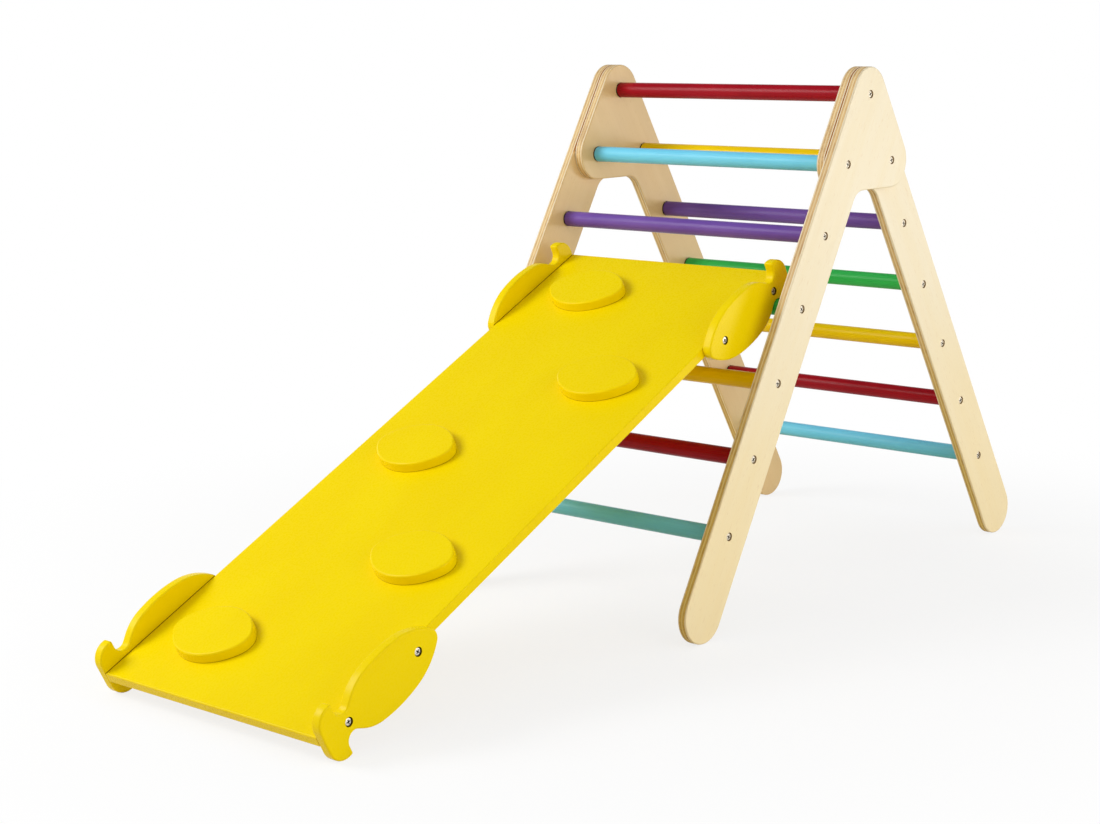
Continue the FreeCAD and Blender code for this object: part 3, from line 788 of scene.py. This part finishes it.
def screw_steel(name, bright, dull, roughness):
    material, tree = new_material(name)
    place = add_node(tree, "ShaderNodeTexCoord").outputs["Object"]
    scaled = add_node(tree, "ShaderNodeMapping", {"Vector": place}, {"Scale": cells(2.5, 2.5, 2.5)})
    mottle = add_node(tree, "ShaderNodeTexNoise", {"Vector": scaled}, {"Scale": 1.0, "Detail": 2.0})
    # The pits of tumbling are a few hundredths of a millimetre: they are drawn at half a millimetre.
    scaled = add_node(tree, "ShaderNodeMapping", {"Vector": place}, {"Scale": cells(0.5, 0.5, 0.5)})
    pits = add_node(tree, "ShaderNodeTexNoise", {"Vector": scaled}, {"Scale": 1.0, "Detail": 1.0})
    plating = add_node(tree, "ShaderNodeMix", {0: mottle},
                       {6: linear(bright), 7: linear(dull)}, **COLOUR)
    rough = add_node(tree, "ShaderNodeMath", {0: mottle}, {1: MOTTLE_ROUGHER, 2: roughness},
                     operation="MULTIPLY_ADD")
    bump = add_node(tree, "ShaderNodeBump", {"Height": pits}, PIT_BUMP)
    shader = add_node(tree, "ShaderNodeBsdfPrincipled",
                      {"Base Color": plating, "Roughness": rough, "Normal": bump}, {"Metallic": 1.0})
    add_node(tree, "ShaderNodeOutputMaterial", {"Surface": shader})
    return material


finishes["screw_steel"] = screw_steel("zinc_plated_steel_dulled", "D8CFBC", "C6BDAB", roughness=0.4)
rubbed_steel = screw_steel("zinc_plated_steel_rubbed_bright", "E2DCCF", "D0C9BA", roughness=0.25)
# The cross's steel is nearly black: grime and painted shade.
cross_grime_and_shade_steel = screw_steel("zinc_plated_steel_cross_grime_and_shade", "211E1B", "141210", roughness=0.5)
print("steel:", finishes["screw_steel"].name, rubbed_steel.name, cross_grime_and_shade_steel.name)

# %% [markdown]
# ## Every piece gets its finish
#
# The record lists each piece with the finish that it takes. The plywood comes in two versions and the
# yellow paint in three, one for each way that a piece lies, so the piece's name settles which of them it
# gets.

# %% Assign the finishes
YELLOW_PIECES = (("hook", hook_yellow), ("stone", stone_yellow), ("board", board_yellow))
for row in frame["record"]["subparts"]:
    node = row["node"]
    if row["material_slot"] == "birch_plywood":
        finish = front_birch if node.startswith("front") else rear_birch
    elif row["material_slot"] == "ramp_yellow_paint":
        finish = next(paint for word, paint in YELLOW_PIECES if word in node)
    else:
        finish = finishes[row["material_slot"]]
    NODES[node].data.materials[0] = finish

# %% [markdown]
# ## Rungs, turned a little finer
#
# The loaded rungs are plain round bars. A real rung is turned: its body stops just short of the board
# with a rounded shoulder, and a slightly thinner tenon goes into the socket. That leaves the dark ring
# that the eye looks for where a rung meets wood. Each rung starts as a cylinder. Its ends are inset and
# pulled out to make the tenon, inset again and pushed in to make the screw's hole, and the shoulder's
# edge is bevelled. There are only two lengths, so two rungs are modelled and the others are copies. Faces
# past the shoulder get the raw beech.

# %% Choose faces and edges by where they are
FACING = 0.99
HAIR = 0.01 * MM


def select_parts(piece, kind, test):
    """Goes into edit mode and selects only the faces or edges that pass the test."""
    bpy.context.view_layer.objects.active = piece
    bpy.ops.object.mode_set(mode="EDIT")
    bpy.ops.mesh.select_mode(type=kind)
    bpy.ops.mesh.select_all(action="DESELECT")
    mesh = bmesh.from_edit_mesh(piece.data)
    for part in mesh.faces if kind == "FACE" else mesh.edges:
        if test(part):
            part.select_set(True)
    mesh.select_flush_mode()
    bmesh.update_edit_mesh(piece.data)


print("a face looks along an axis where its normal is over", FACING)

# %% Model a rung
RUNG_R, TENON_R, SCREW_HOLE_R = 12.5 * MM, 10.2 * MM, 2.6 * MM
SOCKET_DEPTH, SCREW_HOLE_DEPTH = 7.0 * MM, 31.0 * MM
SHOULDER_GAP, SHOULDER_ROUND, PAINT_STOP = 1.5 * MM, 1.2 * MM, 0.2 * MM
RUNG_SIDES, ROUND_STEPS = 96, 5
SMOOTH_ANGLE = math.radians(35.0)


def turned_rung(face_y):
    """A rung along Y that fits between two boards with their faces at plus and minus face_y."""
    shoulder = face_y - SHOULDER_GAP
    bpy.ops.object.select_all(action="DESELECT")
    bpy.ops.mesh.primitive_cylinder_add(vertices=RUNG_SIDES, radius=RUNG_R, depth=2 * shoulder,
                                        rotation=(math.pi / 2, 0.0, 0.0))
    bpy.ops.object.transform_apply(location=True, rotation=True, scale=True)
    rung = bpy.context.object
    for side in (-1, 1):
        select_parts(rung, "FACE", lambda face: face.normal.y * side > FACING)
        bpy.ops.mesh.inset(thickness=RUNG_R - TENON_R)
        tenon = (0.0, side * (SOCKET_DEPTH + SHOULDER_GAP), 0.0)
        bpy.ops.mesh.extrude_region_move(TRANSFORM_OT_translate={"value": tenon})
        bpy.ops.mesh.inset(thickness=TENON_R - SCREW_HOLE_R)
        hole = (0.0, -side * SCREW_HOLE_DEPTH, 0.0)
        bpy.ops.mesh.extrude_region_move(TRANSFORM_OT_translate={"value": hole})
    select_parts(rung, "EDGE", lambda edge: all(
        abs(abs(vert.co.y) - shoulder) < HAIR and vert.co.xz.length > RUNG_R - HAIR
        for vert in edge.verts))
    bpy.ops.mesh.bevel(offset=SHOULDER_ROUND, segments=ROUND_STEPS, affect="EDGES")
    bpy.ops.object.mode_set(mode="OBJECT")
    bpy.ops.object.shade_smooth_by_angle(angle=SMOOTH_ANGLE)
    for face in rung.data.polygons:
        face.material_index = int(abs(face.center.y) > shoulder - PAINT_STOP)
    return rung


print("rungs are", round(2 * RUNG_R / MM, 1), "mm thick, tenons", round(2 * TENON_R / MM, 1), "mm")

# %% [markdown]
# The rungs in the heads and in the rear legs run between the inner boards. The other front rungs run
# between the outer boards, and are longer by the thickness of two boards.

# %% Copy the rungs to their places
REAR_LEG_FACE, FRONT_LEG_FACE = INNER_FACE, INNER_FACE + BOARD_THICK
templates = {face: turned_rung(face) for face in (REAR_LEG_FACE, FRONT_LEG_FACE)}
rung_rows = [row for row in frame["record"]["subparts"] if row["material_slot"].endswith("_rung_paint")]
for row in rung_rows:
    low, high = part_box(row["node"])
    face = min(templates, key=lambda known: abs(known + SOCKET_DEPTH - high.y))
    piece = templates[face].copy()
    piece.data = templates[face].data.copy()
    piece.name = "turned_" + row["node"]
    piece.data.transform(Matrix.Translation(((low.x + high.x) / 2, 0.0, (low.z + high.z) / 2)))
    piece.data.materials.append(finishes[row["material_slot"]])
    piece.data.materials.append(bare_beech)
    bpy.context.scene.collection.objects.link(piece)
    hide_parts(row["node"])
    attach(piece, "triangle")
for template in templates.values():
    bpy.data.objects.remove(template)
print("turned", len(rung_rows), "rungs in", len(templates), "lengths")

# %% [markdown]
# ## Screws with a driver's cross
#
# From close by, a screw is read from three things: a rounded rim, a slightly crowned top, and a cross
# whose arms narrow downwards. One screw is modelled standing up, from a cylinder. Its underside is inset
# and pulled down for the shank, its rim is bevelled, and its top is inset and raised twice for the crown.

# %% Model a screw without its cross
HEAD_R, HEAD_H, HEAD_ROUND, HEAD_SIDES = 5.25 * MM, 2.6 * MM, 0.8 * MM, 48
SHANK_R, TIP_L, TIP_SHARE = 2.5 * MM, 4.0 * MM, 0.15
CROWN_STEPS = ((0.7 * MM, 0.16 * MM), (1.0 * MM, 0.12 * MM))


def uncut_screw(length):
    """A screw along Z with its rim's top at z = 0 and the end of its shank at minus length."""
    bpy.ops.object.select_all(action="DESELECT")
    bpy.ops.mesh.primitive_cylinder_add(vertices=HEAD_SIDES, radius=HEAD_R, depth=HEAD_H,
                                        location=(0.0, 0.0, -HEAD_H / 2))
    bpy.ops.object.transform_apply(location=True, rotation=True, scale=True)
    screw = bpy.context.object
    select_parts(screw, "FACE", lambda face: face.normal.z < -FACING)
    bpy.ops.mesh.inset(thickness=HEAD_R - SHANK_R)
    for pull in (HEAD_H + TIP_L - length, -TIP_L):
        bpy.ops.mesh.extrude_region_move(TRANSFORM_OT_translate={"value": (0.0, 0.0, pull)})
    bpy.ops.transform.resize(value=(TIP_SHARE, TIP_SHARE, 1.0))
    select_parts(screw, "EDGE", lambda edge: all(vert.co.z > -HAIR for vert in edge.verts))
    bpy.ops.mesh.bevel(offset=HEAD_ROUND, segments=ROUND_STEPS, affect="EDGES")
    select_parts(screw, "FACE", lambda face: face.normal.z > FACING)
    for inset, rise in CROWN_STEPS:
        bpy.ops.mesh.inset(thickness=inset)
        bpy.ops.transform.translate(value=(0.0, 0.0, rise))
    bpy.ops.object.mode_set(mode="OBJECT")
    return screw


print("screw heads are", round(2 * HEAD_R / MM, 1), "mm wide, shanks", round(2 * SHANK_R / MM, 1), "mm")

# %% [markdown]
# The cross is cut out with two tapered bars, by Boolean modifiers. Cutting is simpler here than insetting
# a cross by hand, and just as clean. The faces down in the cross get the steel of grime and painted
# shade.

# %% Cut the cross
CROSS_L, CROSS_W, CROSS_DEPTH, CROSS_TAPER = 8.2 * MM, 2.0 * MM, 1.8 * MM, 0.55
CROSS_GRIME_AND_SHADE_BELOW = -0.2 * MM


def tapered_bar(size_x, size_y):
    bpy.ops.object.select_all(action="DESELECT")
    bpy.ops.mesh.primitive_cube_add(size=1.0)
    bar = bpy.context.object
    bar.scale = (size_x, size_y, 2 * CROSS_DEPTH)
    bpy.ops.object.transform_apply(location=True, rotation=True, scale=True)
    select_parts(bar, "FACE", lambda face: face.normal.z < -FACING)
    bpy.ops.transform.resize(value=(CROSS_TAPER, CROSS_TAPER, 1.0))
    bpy.ops.object.mode_set(mode="OBJECT")
    return bar


def pan_head_screw(length):
    screw = uncut_screw(length)
    for bar in (tapered_bar(CROSS_L, CROSS_W), tapered_bar(CROSS_W, CROSS_L)):
        cut = screw.modifiers.new("driver_cross", "BOOLEAN")
        cut.operation, cut.solver, cut.object = "DIFFERENCE", "EXACT", bar
        bpy.context.view_layer.objects.active = screw
        bpy.ops.object.modifier_apply(modifier=cut.name)
        bpy.data.objects.remove(bar)
    bpy.ops.object.select_all(action="DESELECT")
    screw.select_set(True)
    bpy.ops.object.shade_smooth_by_angle(angle=SMOOTH_ANGLE)
    for face in screw.data.polygons:
        # Faces down in the cross get the dark steel: grime and painted shade.
        in_cross = -HEAD_H < face.center.z < CROSS_GRIME_AND_SHADE_BELOW and face.center.xy.length < CROSS_L / 2
        face.material_index = int(in_cross)
    screw.data.materials.append(finishes["screw_steel"])
    screw.data.materials.append(cross_grime_and_shade_steel)
    return screw


print("crosses are", round(CROSS_L / MM, 1), "mm long and", round(CROSS_DEPTH / MM, 1), "mm deep")

# %% [markdown]
# A driver stops where it stops, so no two crosses point the same way: each copy is turned a little
# further. The copies of one loaded piece are joined into one, because they stand for that piece.

# %% Model a screw of each length
side_screws = [row["node"] for row in frame["record"]["subparts"]
               if row["material_slot"] == "screw_steel" and row["node"] != "stone_screws"]
lengths = {node: round(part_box(node)[1].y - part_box(node)[0].y, 5) for node in side_screws}
patterns = {length: pan_head_screw(length) for length in sorted(set(lengths.values()))}
print("screws are", " and ".join("%.1f" % (length / MM) for length in patterns), "mm long")

# %% Copy the screws to their places
CROSS_TURN = math.radians(37.0)
driven = 0
for node in side_screws:
    copies = []
    for spot in screw_places(node):
        screw = patterns[lengths[node]].copy()
        screw.data = patterns[lengths[node]].data.copy()
        outwards = Matrix.Rotation(math.copysign(math.pi / 2, -spot.y), 4, "X")
        turn = Matrix.Rotation(driven * CROSS_TURN, 4, "Z")
        screw.data.transform(Matrix.Translation(spot) @ outwards @ turn)
        bpy.context.scene.collection.objects.link(screw)
        copies.append(screw)
        driven += 1
    bpy.ops.object.select_all(action="DESELECT")
    for screw in copies:
        screw.select_set(True)
    bpy.context.view_layer.objects.active = copies[0]
    bpy.ops.object.join()
    piece = copies[0]
    piece.name = "driven_" + node
    if "hook" in node:
        piece.data.materials[0] = rubbed_steel
    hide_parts(node)
    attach(piece, "ramp" if "hook" in node else "triangle")
for pattern in patterns.values():
    bpy.data.objects.remove(pattern)
print("drove", driven, "screws of", len(patterns), "lengths")

# %% [markdown]
# ## Size of the finished model
#
# The looks must not change the size, so the box of the finished model is printed.

# %% Write the sizes
low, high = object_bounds()
print("visual model from", tuple(low), "to", tuple(high))
